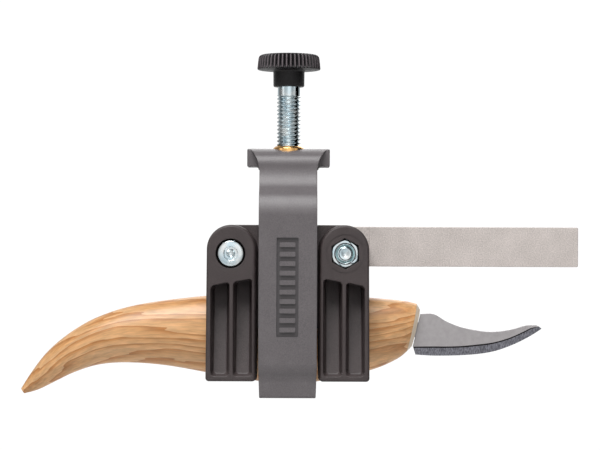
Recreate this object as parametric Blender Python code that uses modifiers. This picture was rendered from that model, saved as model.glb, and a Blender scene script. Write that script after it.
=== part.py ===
"""Screw clamp for a small knife, with a carving knife held in it.

Two equal moulded jaws are bolted together around a flat steel tongue. A cast yoke passes in front
of them: its head carries a brass bush for the clamp screw, its foot lies under the knife handle.
Turning the knob pulls the foot up, and the handle is pressed into the V between the jaws' legs.

Every solid is drawn about the screw's axis at the top of the jaws (X along the tongue, Z up the
screw). The whole is then hung on one empty, which puts the origin in the middle of the tongue's
front face.
"""

import math

import bmesh
import bpy
from mathutils import Matrix, Vector

GAP = 0.0003  # between pieces that touch

# Jaws
JAW_DEPTH = 0.017  # mating plane to front face
BRIDGE_DEPTH = 0.0125
BRIDGE_BOTTOM = -0.033
LEG_INNER_X = 0.0103
LEG_OUTER_X = 0.0257
LEG_DRAFT = 0.00035
LEG_BOTTOM = -0.0497
LEG_CORNER = 0.0011
DOME_RADIUS = (LEG_OUTER_X - LEG_INNER_X) / 2
V_ROOF = -0.0205
V_MIDDLE = -0.0368  # height of the handle's middle
V_HALF_WIDTH = 0.0103  # at V_MIDDLE
V_SLOPE = math.tan(math.radians(14))
POCKET_WALL = 0.0021
POCKET_BOTTOM = -0.048
POCKET_CORNER = 0.0008

# Fasteners: M5 cap screws and lock nuts, one pair from each side
BOLT_X = 0.0182
BOLT_Z = -0.0091
BOLT_RADIUS = 0.0025
BOLT_LENGTH = 0.028
HEAD_RADIUS = 0.00425
HEAD_HEIGHT = 0.005
HEAD_SEAT = 0.0114  # distance of the head's underside from the mating plane
SOCKET_ACROSS = 0.004
SOCKET_DEPTH = 0.0026
COUNTERBORE_RADIUS = 0.0047
NUT_ACROSS = 0.008
NUT_TURN = math.radians(2)
NUT_SEAT = 0.0109
NUT_HEX_HEIGHT = 0.0038
NUT_HEIGHT = 0.005
COLLAR_RADIUS = 0.0038
RING_SEAT_RADIUS = 0.00335
RING_SEAT_DEPTH = 0.0014
RING_RADII = (0.00265, 0.0032)

# Tongue
TONGUE_THICKNESS = 0.003
TONGUE_TOP = -0.0005
TONGUE_BOTTOM = -0.0134
TONGUE_SHOULDER = 0.0190  # where it has its full height, between the jaws' round tops
TONGUE_START = 0.0263  # where it comes out of the jaws and has its full thickness
TONGUE_END = 0.0943
ROOT_THICKNESS = 0.0026
ROOT_TOP = -0.0025
ROOT_END = -0.0242

# Screw and the parts on its lower end
SCREW_RADIUS = 0.0039
SHANK_RADIUS = 0.00365
SHANK_BOTTOM = 0.0417
SCREW_TOP = 0.0521
SHOULDER_Z = -0.0015
TAIL_RADIUS = 0.0025
TAIL_END = -0.0063
GROOVE_RADIUS = 0.0021
GROOVE_TOP = -0.00395
GROOVE_BOTTOM = -0.00525
PLATE_SIZE = (0.014, 0.010, 0.002)
CLIP_RADII = (0.0024, 0.0042)
CLIP_THICKNESS = 0.0007
CLIP_MOUTH = math.radians(70)
CAVITY_RADIUS = 0.0053
CAVITY_BOTTOM = -0.008

# Knob
KNOB_TOP = 0.0554
RIM_BOTTOM = 0.0505
HUB_BOTTOM = 0.0450
HUB_RADIUS = 0.0051
RIM_RADII = (0.0103, 0.0099)  # bottom, top
RIB_COUNT = 34
RIB_DEPTH = 0.0005

# Yoke
HEAD_TOP = 0.02475
HEAD_BOTTOM = 0.0165
HEAD_BACK = 0.0085
WING_HALF_WIDTH = 0.0134
WING_BOTTOM = 0.0189
WING_FRONT = -0.004
SPINE_HALF_WIDTH = 0.0093
SPINE_FRONT = -0.018
SPINE_BACK = -0.0128
FOOT_BOTTOM = -0.055
FOOT_HALF_WIDTH = 0.00895
FLARE_RADIUS = 0.0132
CRADLE_RADIUS = 0.015
CRADLE_TOP = -0.0521
PANEL = (-0.0036, 0.0034, -0.0355, -0.0040)  # low x, high x, low z, high z
PANEL_DEPTH = 0.0005
YOKE_TRAVEL = 0.010
RELIEF_ROOM = 0.0005  # between the lowered ramp and the jaws

# Bush
BUSH_RADIUS = 0.005
BUSH_BORE = 0.0042
BUSH_BOTTOM = 0.0163
BUSH_TOP = 0.0256

# Knife: at each station the handle's top point, bottom point and half thickness
HANDLE_STATIONS = [
    ((-0.0869, -0.0536), (-0.0858, -0.0552), 0.0010),
    ((-0.0833, -0.0479), (-0.0812, -0.0539), 0.0028),
    ((-0.0782, -0.0414), (-0.0755, -0.0511), 0.0044),
    ((-0.0715, -0.0357), (-0.0695, -0.0482), 0.0057),
    ((-0.0630, -0.03065), (-0.0615, -0.0457), 0.0067),
    ((-0.0520, -0.02685), (-0.0515, -0.0450), 0.0075),
    ((-0.0380, -0.02445), (-0.0380, -0.0461), 0.0083),
    ((-0.0200, -0.0226), (-0.0200, -0.04925), 0.0090),
    ((0.0000, -0.0218), (0.0000, -0.0518), 0.00925),
    ((0.0160, -0.0226), (0.0155, -0.0499), 0.0090),
    ((0.0290, -0.02375), (0.0280, -0.0469), 0.0080),
    ((0.0379, -0.0246), (0.0355, -0.0436), 0.0068),
    ((0.0419, -0.0255), (0.0386, -0.0412), 0.0058),
]
HANDLE_FACE = ((0.0430, -0.0274), (0.0402, -0.0396), 0.0045)  # the flat end, inside its chamfer
HANDLE_STEPS = 2  # rings between two stations
TANG = (0.014, 0.0445, -0.0365, -0.0315)  # low x, high x, low z, high z
TANG_THICKNESS = 0.0016
RESIN_WALL = 0.0009

# Blade: at each station the back, the grind line, the edge and the half thickness
BLADE_STATIONS = [
    ((0.0432, -0.0289), (0.0408, -0.0394), (0.0416, -0.0421), 0.0010),
    ((0.0475, -0.0289), (0.0465, -0.0393), (0.0465, -0.0424), 0.0010),
    ((0.0515, -0.0312), (0.0520, -0.0393), (0.0520, -0.0424), 0.0010),
    ((0.0560, -0.0330), (0.0570, -0.0391), (0.0575, -0.0422), 0.00095),
    ((0.0605, -0.0340), (0.0620, -0.0386), (0.0630, -0.0417), 0.0009),
    ((0.0650, -0.0346), (0.0666, -0.0380), (0.0680, -0.0407), 0.00085),
    ((0.0695, -0.0344), (0.0714, -0.0367), (0.0730, -0.0389), 0.0008),
    ((0.0738, -0.0336), (0.0755, -0.0350), (0.0770, -0.0370), 0.00075),
    ((0.0775, -0.0325), (0.0790, -0.0333), (0.0803, -0.0351), 0.0007),
    ((0.0809, -0.0324), (0.0818, -0.0328), (0.0827, -0.0335), 0.0005),
]
EDGE_HALF_THICKNESS = 0.00012

PIECES = "knife_clamp"
CUTTERS = "cutters"


# ---------------------------------------------------------------- helpers


def fresh_collection(name):
    collection = bpy.data.collections.new(name)
    bpy.context.scene.collection.children.link(collection)
    return collection


def material(name, colour, roughness, metallic=0.0):
    made = bpy.data.materials.new(name)
    made.use_nodes = True
    shader = made.node_tree.nodes["Principled BSDF"]
    shader.inputs["Base Color"].default_value = (*colour, 1.0)
    shader.inputs["Roughness"].default_value = roughness
    shader.inputs["Metallic"].default_value = metallic
    return made


def place(name, mesh, collection):
    obj = bpy.data.objects.new(name, mesh)
    collection.objects.link(obj)
    return obj


def as_cutter(obj):
    obj.hide_render = True
    obj.display_type = "WIRE"
    return obj


def baked(obj):
    """The object's evaluated mesh, welded, in place of the object."""
    evaluated = obj.evaluated_get(bpy.context.evaluated_depsgraph_get())
    mesh = bpy.data.meshes.new_from_object(evaluated)
    bm = bmesh.new()
    bm.from_mesh(mesh)
    bmesh.ops.remove_doubles(bm, verts=bm.verts, dist=0.000002)
    bm.to_mesh(mesh)
    bm.free()
    bpy.data.objects.remove(obj)
    return mesh


def box(name, low, high, collection):
    """An axis-aligned block between two corners."""
    size = [h - l for l, h in zip(low, high)]
    middle = [(l + h) / 2 for l, h in zip(low, high)]
    bm = bmesh.new()
    bmesh.ops.create_cube(bm, matrix=Matrix.Translation(middle) @ Matrix.Diagonal((*size, 1)))
    mesh = bpy.data.meshes.new(name)
    bm.to_mesh(mesh)
    bm.free()
    return place(name, mesh, collection)


def rod(name, radius, low, high, collection, axis="Z", centre=(0, 0), sides=32, turn=0.0):
    """A cylinder or prism along an axis, from low to high on it."""
    bm = bmesh.new()
    bmesh.ops.create_cone(
        bm,
        cap_ends=True,
        segments=sides,
        radius1=radius,
        radius2=radius,
        depth=high - low,
        matrix=Matrix.Rotation(turn, 4, "Z"),
    )
    middle = (low + high) / 2
    if axis == "Y":
        bmesh.ops.rotate(bm, verts=bm.verts, matrix=Matrix.Rotation(math.radians(90), 3, "X"))
        shift = (centre[0], middle, centre[1])
    else:
        shift = (centre[0], centre[1], middle)
    bmesh.ops.translate(bm, verts=bm.verts, vec=shift)
    mesh = bpy.data.meshes.new(name)
    bm.to_mesh(mesh)
    bm.free()
    return place(name, mesh, collection)


def turned(name, profile, collection, sides=32):
    """A body of revolution about Z from (radius, height) points, top to bottom on the outside."""
    bm = bmesh.new()
    points = [bm.verts.new((radius, 0, height)) for radius, height in profile]
    for first, second in zip(points, points[1:]):
        bm.edges.new((first, second))
    mesh = bpy.data.meshes.new(name)
    bm.to_mesh(mesh)
    bm.free()
    obj = place(name, mesh, collection)
    spin = obj.modifiers.new("turn", "SCREW")
    spin.axis = "Z"
    spin.steps = sides
    spin.render_steps = sides
    spin.use_merge_vertices = True
    spin.merge_threshold = 0.00001
    return obj


def arc(centre, radius, start, end, steps=8):
    """Points on an arc, angles in degrees."""
    angles = [math.radians(start + (end - start) * i / steps) for i in range(steps + 1)]
    return [(centre[0] + radius * math.cos(a), centre[1] + radius * math.sin(a)) for a in angles]


def sweep(start, pull_start, pull_end, end, steps=8):
    """Points on a cubic curve from start to end."""
    points = []
    for i in range(steps + 1):
        t = i / steps
        weights = ((1 - t) ** 3, 3 * t * (1 - t) ** 2, 3 * t * t * (1 - t), t**3)
        corners = (start, pull_start, pull_end, end)
        points.append(tuple(sum(w * c[k] for w, c in zip(weights, corners)) for k in (0, 1)))
    return points


def plate(name, outline, low, high, collection, plane="XZ"):
    """A flat outline given thickness from low to high along the plane's normal."""
    curve = bpy.data.curves.new(name, "CURVE")
    curve.dimensions = "2D"
    curve.fill_mode = "BOTH"
    curve.extrude = (high - low) / 2
    spline = curve.splines.new("POLY")
    spline.points.add(len(outline) - 1)
    for point, (u, v) in zip(spline.points, outline):
        point.co = (u, v, 0, 1)
    spline.use_cyclic_u = True
    mesh = baked(place(name, curve, collection))
    turn = {
        "XZ": Matrix(((1, 0, 0), (0, 0, -1), (0, 1, 0))),
        "YZ": Matrix(((0, 0, 1), (1, 0, 0), (0, 1, 0))),
    }[plane]
    middle = (low + high) / 2
    shift = Vector((0, middle, 0)) if plane == "XZ" else Vector((middle, 0, 0))
    mesh.transform(Matrix.Translation(shift) @ turn.to_4x4())
    bm = bmesh.new()
    bm.from_mesh(mesh)
    bmesh.ops.dissolve_limit(bm, angle_limit=0.001, verts=bm.verts, edges=bm.edges)
    bmesh.ops.recalc_face_normals(bm, faces=bm.faces)
    bm.to_mesh(mesh)
    bm.free()
    return place(name, mesh, collection)


def combine(obj, other, operation):
    boolean = obj.modifiers.new(other.name, "BOOLEAN")
    boolean.operation = operation
    boolean.object = other
    as_cutter(other)


def loft(name, rings, collection):
    """A closed body through rings of points, each ring with the same number of them."""
    bm = bmesh.new()
    loops = []
    for ring in rings:
        verts = [bm.verts.new(point) for point in ring]
        edges = [bm.edges.new((verts[i - 1], verts[i])) for i in range(len(verts))]
        loops.append((verts, edges))
    for (_, first), (_, second) in zip(loops, loops[1:]):
        bmesh.ops.bridge_loops(bm, edges=first + second)
    bm.faces.new(loops[0][0])
    bm.faces.new(loops[-1][0])
    bmesh.ops.recalc_face_normals(bm, faces=bm.faces)
    mesh = bpy.data.meshes.new(name)
    bm.to_mesh(mesh)
    bm.free()
    return place(name, mesh, collection)


def smooth_between(values, i, t):
    """Catmull-Rom value between entries i and i + 1 of a list of equal tuples."""
    last = len(values) - 1
    before, here, there, after = (values[min(max(i + k, 0), last)] for k in (-1, 0, 1, 2))
    return tuple(
        0.5 * (2 * h + (n - b) * t + (2 * b - 5 * h + 4 * n - a) * t**2 + (3 * h - b - 3 * n + a) * t**3)
        for b, h, n, a in zip(before, here, there, after)
    )


def mirrored(points):
    return [(-x, z) for x, z in points]


def ramp_back():
    """The back of the yoke between its spine and its head, from bottom to top, as (y, z)."""
    return sweep((SPINE_BACK, 0.005), (SPINE_BACK, 0.0105), (-0.0055, 0.0095), (-0.0055, 0.0145))


# ---------------------------------------------------------------- jaws


def leg_outline():
    """Front outline of the right leg: a round top, slightly wider towards the bottom."""
    centre_x = (LEG_INNER_X + LEG_OUTER_X) / 2
    outer = LEG_OUTER_X + LEG_DRAFT
    bottom = LEG_BOTTOM + LEG_CORNER
    points = arc((LEG_INNER_X + LEG_CORNER, bottom), LEG_CORNER, 270, 180, 4)
    points += arc((centre_x, -DOME_RADIUS), DOME_RADIUS, 180, 0, 16)
    points += arc((outer - LEG_CORNER, bottom), LEG_CORNER, 0, -90, 4)
    return points


def v_outline():
    """Cross-section of the V that the handle is pulled into, from its roof to below the legs."""
    low = LEG_BOTTOM - 0.01
    roof = V_HALF_WIDTH + V_SLOPE * (V_MIDDLE - V_ROOF)
    mouth = V_HALF_WIDTH + V_SLOPE * (V_MIDDLE - low)
    return [(-roof, V_ROOF), (roof, V_ROOF), (mouth, low), (-mouth, low)]


def pocket_outline(near_x, far_x, near_top, far_top):
    """Front outline of one pocket, its top sloping up towards the spine."""
    r = POCKET_CORNER
    return [
        (near_x, POCKET_BOTTOM + r),
        (near_x + r, POCKET_BOTTOM),
        (far_x - r, POCKET_BOTTOM),
        (far_x, POCKET_BOTTOM + r),
        (far_x, far_top - r),
        (far_x - r, far_top),
        (near_x + r, near_top),
        (near_x, near_top - r),
    ]


def relief_outline():
    """What is cut from the top of the bridge for the lowered ramp of the yoke, as (y, z)."""
    points = [(y + RELIEF_ROOM, z - YOKE_TRAVEL) for y, z in ramp_back()]
    out = -0.02
    return [(out, points[0][1] - 0.0005), (points[0][0], points[0][1] - 0.0005)] + points + [(out, points[-1][1])]


def make_jaw_mesh(cutters):
    """The front jaw half, legs to both sides of the bridge, mating plane towards +Y."""
    face = -GAP / 2
    # the bridge runs out behind the legs' round tops to their highest points
    reach = (LEG_INNER_X + LEG_OUTER_X) / 2
    jaw = box("jaw", (-reach, -BRIDGE_DEPTH, BRIDGE_BOTTOM), (reach, face, 0), cutters)
    for side, outline in (("right", leg_outline()), ("left", mirrored(leg_outline()))):
        combine(jaw, plate("leg_" + side, outline, -JAW_DEPTH, face, cutters), "UNION")

    reach = SPINE_HALF_WIDTH + GAP
    combine(jaw, plate("ramp_relief", relief_outline(), -reach, reach, cutters, "YZ"), "DIFFERENCE")

    far = LEG_OUTER_X + 0.005
    combine(jaw, plate("v_channel", v_outline(), -far, far, cutters, "YZ"), "DIFFERENCE")

    # the tongue's slot is open at both ends, so that both halves are the same moulding; its outer
    # ends are open to the top, for the tongue's full height
    slot = ROOT_THICKNESS / 2 + GAP
    slot_low = (-far, -slot, TONGUE_BOTTOM - GAP)
    combine(jaw, box("tongue_slot", slot_low, (far, slot, ROOT_TOP + GAP), cutters), "DIFFERENCE")
    inner = TONGUE_SHOULDER - GAP
    for low_x, high_x in ((-far, -inner), (inner, far)):
        low = (low_x, -slot, TONGUE_BOTTOM)
        combine(jaw, box("shoulder_slot", low, (high_x, slot, 0.005), cutters), "DIFFERENCE")

    # seat of the screw: a pocket for its plate under a lip, and room for the tail and its clip
    half_x, half_y = PLATE_SIZE[0] / 2 + GAP, PLATE_SIZE[1] / 2 + GAP
    plate_top = SHOULDER_Z - GAP
    plate_low = plate_top - PLATE_SIZE[2]
    pocket = box(
        "plate_pocket", (-half_x, -half_y, plate_low - GAP), (half_x, half_y, plate_top + GAP), cutters
    )
    combine(jaw, pocket, "DIFFERENCE")
    lip = rod("lip_hole", SCREW_RADIUS + 2 * GAP, plate_top, 0.005, cutters)
    combine(jaw, lip, "DIFFERENCE")
    cavity = rod("clip_cavity", CAVITY_RADIUS, CAVITY_BOTTOM, plate_low, cutters)
    combine(jaw, cavity, "DIFFERENCE")

    # one bolt head goes in from the left leg's face, one nut into the right leg's face
    for x in (-BOLT_X, BOLT_X):
        hole = rod(
            "bolt_hole", BOLT_RADIUS + GAP, -JAW_DEPTH - 0.001, 0.001, cutters, "Y", (x, BOLT_Z)
        )
        combine(jaw, hole, "DIFFERENCE")
    counterbore = rod(
        "counterbore", COUNTERBORE_RADIUS, -JAW_DEPTH - 0.001, -HEAD_SEAT + GAP, cutters, "Y", (-BOLT_X, BOLT_Z)
    )
    combine(jaw, counterbore, "DIFFERENCE")
    hexagon = rod(
        "nut_recess",
        (NUT_ACROSS / 2 + GAP) / math.cos(math.radians(30)),
        -JAW_DEPTH - 0.001,
        -NUT_SEAT + GAP,
        cutters,
        "Y",
        (BOLT_X, BOLT_Z),
        6,
        NUT_TURN,
    )
    combine(jaw, hexagon, "DIFFERENCE")

    # two pockets in the face of each leg, their floors in line with the V
    shear = Matrix.Identity(4)
    shear[1][2] = V_SLOPE
    wall_at_zero = -(V_HALF_WIDTH + V_SLOPE * V_MIDDLE + POCKET_WALL)
    deep = 0.016
    pockets = [
        pocket_outline(0.0112, 0.0172, -0.0171, -0.0182),
        pocket_outline(0.0184, 0.0244, -0.0182, -0.0194),
    ]
    for outline in pockets + [mirrored(points) for points in pockets]:
        cutter = plate("pocket", outline, wall_at_zero - deep, wall_at_zero, cutters)
        cutter.data.transform(shear)
        combine(jaw, cutter, "DIFFERENCE")
    return baked(jaw)


def make_jaws(pieces, cutters, nylon):
    mesh = make_jaw_mesh(cutters)
    mesh.materials.append(nylon)
    front = place("jaw_front", mesh, pieces)
    back = place("jaw_back", mesh, pieces)
    back.rotation_euler.z = math.pi
    return [front, back]


# ---------------------------------------------------------------- tongue and fasteners


def make_tongue(pieces, cutters, steel):
    """A flat bar, thinner and lower where it lies in the jaws, notched for the screw's tail."""
    half = TONGUE_THICKNESS / 2
    r = 0.0005
    outline = [
        (TONGUE_START, TONGUE_BOTTOM),
        (TONGUE_END - r, TONGUE_BOTTOM),
        (TONGUE_END, TONGUE_BOTTOM + r),
        (TONGUE_END, TONGUE_TOP - r),
        (TONGUE_END - r, TONGUE_TOP),
        (TONGUE_START, TONGUE_TOP),
    ]
    tongue = plate("tongue", outline, -half, half, pieces)
    notch_x = PLATE_SIZE[0] / 2 + 2 * GAP
    notch_z = -0.0076
    root_outline = [
        (ROOT_END, TONGUE_BOTTOM),
        (TONGUE_START + 0.001, TONGUE_BOTTOM),
        (TONGUE_START + 0.001, TONGUE_TOP),
        (TONGUE_SHOULDER, TONGUE_TOP),
        (TONGUE_SHOULDER, ROOT_TOP),
        (notch_x, ROOT_TOP),
        (notch_x, notch_z),
        (-notch_x, notch_z),
        (-notch_x, ROOT_TOP),
        (ROOT_END, ROOT_TOP),
    ]
    root = plate("tongue_root", root_outline, -ROOT_THICKNESS / 2, ROOT_THICKNESS / 2, cutters)
    combine(tongue, root, "UNION")
    for x in (-BOLT_X, BOLT_X):
        hole = rod("tongue_hole", BOLT_RADIUS + GAP, -0.01, 0.01, cutters, "Y", (x, BOLT_Z))
        combine(tongue, hole, "DIFFERENCE")
    tongue.data.materials.append(steel)
    return [tongue]


def make_bolt(name, side, pieces, cutters, zinc):
    """A socket cap screw along Y; side -1 has its head at the front left, 1 at the back right."""
    chamfer = 0.0004
    end = HEAD_SEAT - BOLT_LENGTH
    profile = [
        (0, HEAD_SEAT + HEAD_HEIGHT),
        (HEAD_RADIUS - chamfer, HEAD_SEAT + HEAD_HEIGHT),
        (HEAD_RADIUS, HEAD_SEAT + HEAD_HEIGHT - chamfer),
        (HEAD_RADIUS, HEAD_SEAT),
        (BOLT_RADIUS, HEAD_SEAT),
        (BOLT_RADIUS, end + chamfer),
        (BOLT_RADIUS - chamfer, end),
        (0, end),
    ]
    bolt = place(name, baked(turned(name, profile, pieces)), pieces)
    socket = rod(
        "socket",
        SOCKET_ACROSS / 2 / math.cos(math.radians(30)),
        HEAD_SEAT + HEAD_HEIGHT - SOCKET_DEPTH,
        HEAD_SEAT + HEAD_HEIGHT + 0.001,
        cutters,
        sides=6,
    )
    combine(bolt, socket, "DIFFERENCE")
    mesh = baked(bolt)
    mesh.materials.append(zinc)
    bolt = place(name, mesh, pieces)
    bolt.location = (side * BOLT_X, 0, BOLT_Z)
    bolt.rotation_euler.x = math.radians(-90) * side
    return bolt


def make_nut(name, side, pieces, cutters, zinc):
    """A lock nut along Y: hexagon, round collar and the seat of the nylon ring in it."""
    hexagon = rod(
        name, NUT_ACROSS / 2 / math.cos(math.radians(30)), 0, NUT_HEX_HEIGHT, pieces, sides=6,
        turn=side * NUT_TURN,
    )
    collar = rod(name + "_collar", COLLAR_RADIUS, NUT_HEX_HEIGHT - 0.0005, NUT_HEIGHT, cutters)
    combine(hexagon, collar, "UNION")
    bore = rod(name + "_bore", BOLT_RADIUS + GAP, -0.001, NUT_HEIGHT + 0.001, cutters)
    combine(hexagon, bore, "DIFFERENCE")
    seat = rod(
        name + "_seat", RING_SEAT_RADIUS, NUT_HEIGHT - RING_SEAT_DEPTH, NUT_HEIGHT + 0.001, cutters
    )
    combine(hexagon, seat, "DIFFERENCE")
    mesh = baked(hexagon)
    mesh.materials.append(zinc)
    nut = place(name, mesh, pieces)
    nut.location = (side * BOLT_X, -side * NUT_SEAT, BOLT_Z)
    nut.rotation_euler.x = math.radians(90) * side
    return nut


def make_lock_ring(name, side, pieces, nylon):
    inner, outer = RING_RADII
    top = NUT_HEIGHT - 0.0001
    low = NUT_HEIGHT - RING_SEAT_DEPTH + GAP
    profile = [(inner, top), (outer, top), (outer, low), (inner, low), (inner, top)]
    mesh = baked(turned(name, profile, pieces))
    mesh.materials.append(nylon)
    ring = place(name, mesh, pieces)
    ring.location = (side * BOLT_X, -side * NUT_SEAT, BOLT_Z)
    ring.rotation_euler.x = math.radians(90) * side
    return ring


# ---------------------------------------------------------------- screw, seat, clip and knob


def make_screw(pieces, zinc):
    """The clamp screw: plain shank in the knob, thread, shoulder, and a grooved tail."""
    chamfer = 0.0003
    profile = [
        (0, SCREW_TOP),
        (SHANK_RADIUS, SCREW_TOP),
        (SHANK_RADIUS, SHANK_BOTTOM),
        (SCREW_RADIUS, SHANK_BOTTOM - chamfer),
        (SCREW_RADIUS, SHOULDER_Z),
        (TAIL_RADIUS, SHOULDER_Z),
        (TAIL_RADIUS, GROOVE_TOP),
        (GROOVE_RADIUS, GROOVE_TOP),
        (GROOVE_RADIUS, GROOVE_BOTTOM),
        (TAIL_RADIUS, GROOVE_BOTTOM),
        (TAIL_RADIUS, TAIL_END + chamfer),
        (TAIL_RADIUS - chamfer, TAIL_END),
        (0, TAIL_END),
    ]
    screw = turned("clamp_screw", profile, pieces)
    screw.data.materials.append(zinc)
    return screw


def make_screw_seat(pieces, cutters, steel):
    """The plate that the screw's shoulder pushes on, held in the jaws under their lip."""
    half_x, half_y, thick = PLATE_SIZE[0] / 2, PLATE_SIZE[1] / 2, PLATE_SIZE[2]
    top = SHOULDER_Z - GAP
    seat = box("screw_seat", (-half_x, -half_y, top - thick), (half_x, half_y, top), pieces)
    hole = rod("seat_hole", TAIL_RADIUS + GAP, top - thick - 0.001, top + 0.001, cutters)
    combine(seat, hole, "DIFFERENCE")
    seat.data.materials.append(steel)
    return seat


def make_retaining_ring(pieces, steel):
    """An open clip in the groove of the screw's tail."""
    inner, outer = CLIP_RADII
    half_mouth = math.degrees(CLIP_MOUTH) / 2
    ring = arc((0, 0), outer, half_mouth, 360 - half_mouth, 24)
    ring += arc((0, 0), inner, 360 - half_mouth, half_mouth, 24)
    middle = (GROOVE_TOP + GROOVE_BOTTOM) / 2
    low, high = middle - CLIP_THICKNESS / 2, middle + CLIP_THICKNESS / 2
    clip = plate("retaining_ring", ring, low, high, pieces)
    # drawn in the XZ plane at Y = low..high, turned flat about X
    clip.data.transform(Matrix.Rotation(math.radians(90), 4, "X"))
    clip.data.materials.append(steel)
    return clip


def make_knob(pieces, plastic):
    """The knob: a ribbed rim on a hub, moulded on the screw's shank, with a dished top."""
    bottom_radius, top_radius = RIM_RADII
    edge = 0.0008
    hole = SHANK_RADIUS + GAP
    profile = [
        (0, KNOB_TOP - 0.0006),
        (0.0062, KNOB_TOP - 0.0006),
        (0.0070, KNOB_TOP),
        (top_radius - edge, KNOB_TOP),
        (top_radius - edge * 0.3, KNOB_TOP - edge * 0.3),
        (top_radius, KNOB_TOP - edge),
        (bottom_radius, RIM_BOTTOM + 0.0004),
        (bottom_radius - 0.0004, RIM_BOTTOM),
        (HUB_RADIUS, RIM_BOTTOM),
        (HUB_RADIUS, HUB_BOTTOM + 0.0004),
        (HUB_RADIUS - 0.0004, HUB_BOTTOM),
        (hole, HUB_BOTTOM),
        (hole, SCREW_TOP + GAP),
        (0, SCREW_TOP + GAP),
    ]
    sides = RIB_COUNT * 4
    mesh = baked(turned("knob", profile, pieces, sides))
    for vert in mesh.vertices:
        radius = math.hypot(vert.co.x, vert.co.y)
        place_round = round(math.atan2(vert.co.y, vert.co.x) / (2 * math.pi) * sides)
        if radius > top_radius - 0.0004 and place_round % 4 in (2, 3):
            vert.co.x *= (radius - RIB_DEPTH) / radius
            vert.co.y *= (radius - RIB_DEPTH) / radius
    mesh.materials.append(plastic)
    return place("knob", mesh, pieces)


# ---------------------------------------------------------------- yoke and bush


def yoke_profile():
    """Side outline of the yoke: head, ramp, spine, foot and cradle, as (y, z)."""
    roll_y, roll_z = -0.0006, 0.0195
    roll_depth, roll_height = 0.0084, HEAD_TOP - 0.0195
    ramp_top = (roll_y - roll_depth, 0.0190)
    ramp_end = (SPINE_FRONT, 0.003)
    ramp_pull = 0.008
    points = [
        (roll_y + roll_depth * u, roll_z + roll_height * v) for u, v in arc((0, 0), 1, 90, 180, 8)
    ]
    points += sweep(
        ramp_top, (ramp_top[0], ramp_top[1] - ramp_pull), (ramp_end[0], ramp_end[1] + ramp_pull), ramp_end
    )
    foot_front = SPINE_FRONT + 0.0013
    points += sweep((SPINE_FRONT, -0.045), (SPINE_FRONT, -0.047), (foot_front, -0.0475), (foot_front, -0.0495), 4)
    points += arc((foot_front + 0.0008, FOOT_BOTTOM + 0.0008), 0.0008, 180, 270, 3)
    tip = (0.0125, -0.0492)
    points += sweep((0.003, FOOT_BOTTOM), (0.008, FOOT_BOTTOM), (0.0115, -0.0535), tip, 6)
    centre_z = CRADLE_TOP + CRADLE_RADIUS
    cradle_end, cradle_start = 0.0110, -0.0095
    end_angle = math.degrees(math.asin(cradle_end / CRADLE_RADIUS))
    start_angle = math.degrees(math.asin(cradle_start / CRADLE_RADIUS))
    points += arc((0, centre_z), CRADLE_RADIUS, 270 + end_angle, 270 + start_angle, 12)
    points += arc((SPINE_BACK + 0.003, -0.0455), 0.003, 225, 180, 3)
    points += ramp_back()
    points += arc((-0.0035, HEAD_BOTTOM - 0.002), 0.002, 180, 90, 3)
    points += arc((HEAD_BACK - 0.002, HEAD_BOTTOM + 0.002), 0.002, 270, 360, 3)
    points += arc((HEAD_BACK - 0.002, HEAD_TOP - 0.002), 0.002, 0, 90, 3)
    return points


def side_outline():
    """What is cut away beside the spine, as (x, z), from under the wing to below the foot."""
    fillet = 0.0014
    corner = 0.0007
    out = 0.02
    points = [(out, WING_BOTTOM)]
    points += arc((SPINE_HALF_WIDTH + fillet, WING_BOTTOM - fillet), fillet, 90, 180, 4)
    points += [(SPINE_HALF_WIDTH, -0.045)]
    points += arc((FOOT_HALF_WIDTH - corner, FOOT_BOTTOM + corner), corner, 0, -90, 3)
    points += [(FOOT_HALF_WIDTH - corner, FOOT_BOTTOM - 0.005), (out, FOOT_BOTTOM - 0.005)]
    return points


def shoulder_outline():
    """What is cut away in front of the wing, as (x, z): the spine flares out to meet the head."""
    centre = (SPINE_HALF_WIDTH + FLARE_RADIUS, 0.017)
    points = arc(centre, FLARE_RADIUS, 180, 144, 8)
    out, high = 0.02, HEAD_TOP + 0.004
    points += [(points[-1][0], high), (out, high), (out, centre[1])]
    return points


def make_yoke(pieces, cutters, paint):
    yoke = plate("yoke", yoke_profile(), -WING_HALF_WIDTH, WING_HALF_WIDTH, pieces, "YZ")
    for outline in (side_outline(), mirrored(side_outline())):
        combine(yoke, plate("side_cut", outline, -0.03, 0.03, cutters), "DIFFERENCE")
    for outline in (shoulder_outline(), mirrored(shoulder_outline())):
        combine(yoke, plate("shoulder_cut", outline, -0.03, WING_FRONT, cutters), "DIFFERENCE")
    bore = rod("bush_bore", BUSH_RADIUS + GAP, HEAD_BOTTOM - 0.004, HEAD_TOP + 0.004, cutters)
    combine(yoke, bore, "DIFFERENCE")
    low_x, high_x, low_z, high_z = PANEL
    panel = box(
        "panel", (low_x, SPINE_FRONT - 0.002, low_z), (high_x, SPINE_FRONT + PANEL_DEPTH, high_z), cutters
    )
    combine(yoke, panel, "DIFFERENCE")
    yoke.data.materials.append(paint)
    return yoke


def make_bush(pieces, brass):
    """The screw's nut: a brass bush pressed into the head, its top face slightly coned."""
    profile = [
        (BUSH_BORE, BUSH_TOP),
        (BUSH_RADIUS, BUSH_TOP - 0.0006),
        (BUSH_RADIUS, BUSH_BOTTOM),
        (BUSH_BORE, BUSH_BOTTOM),
        (BUSH_BORE, BUSH_TOP),
    ]
    bush = turned("threaded_bush", profile, pieces)
    bush.data.materials.append(brass)
    return bush


# ---------------------------------------------------------------- knife


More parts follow.
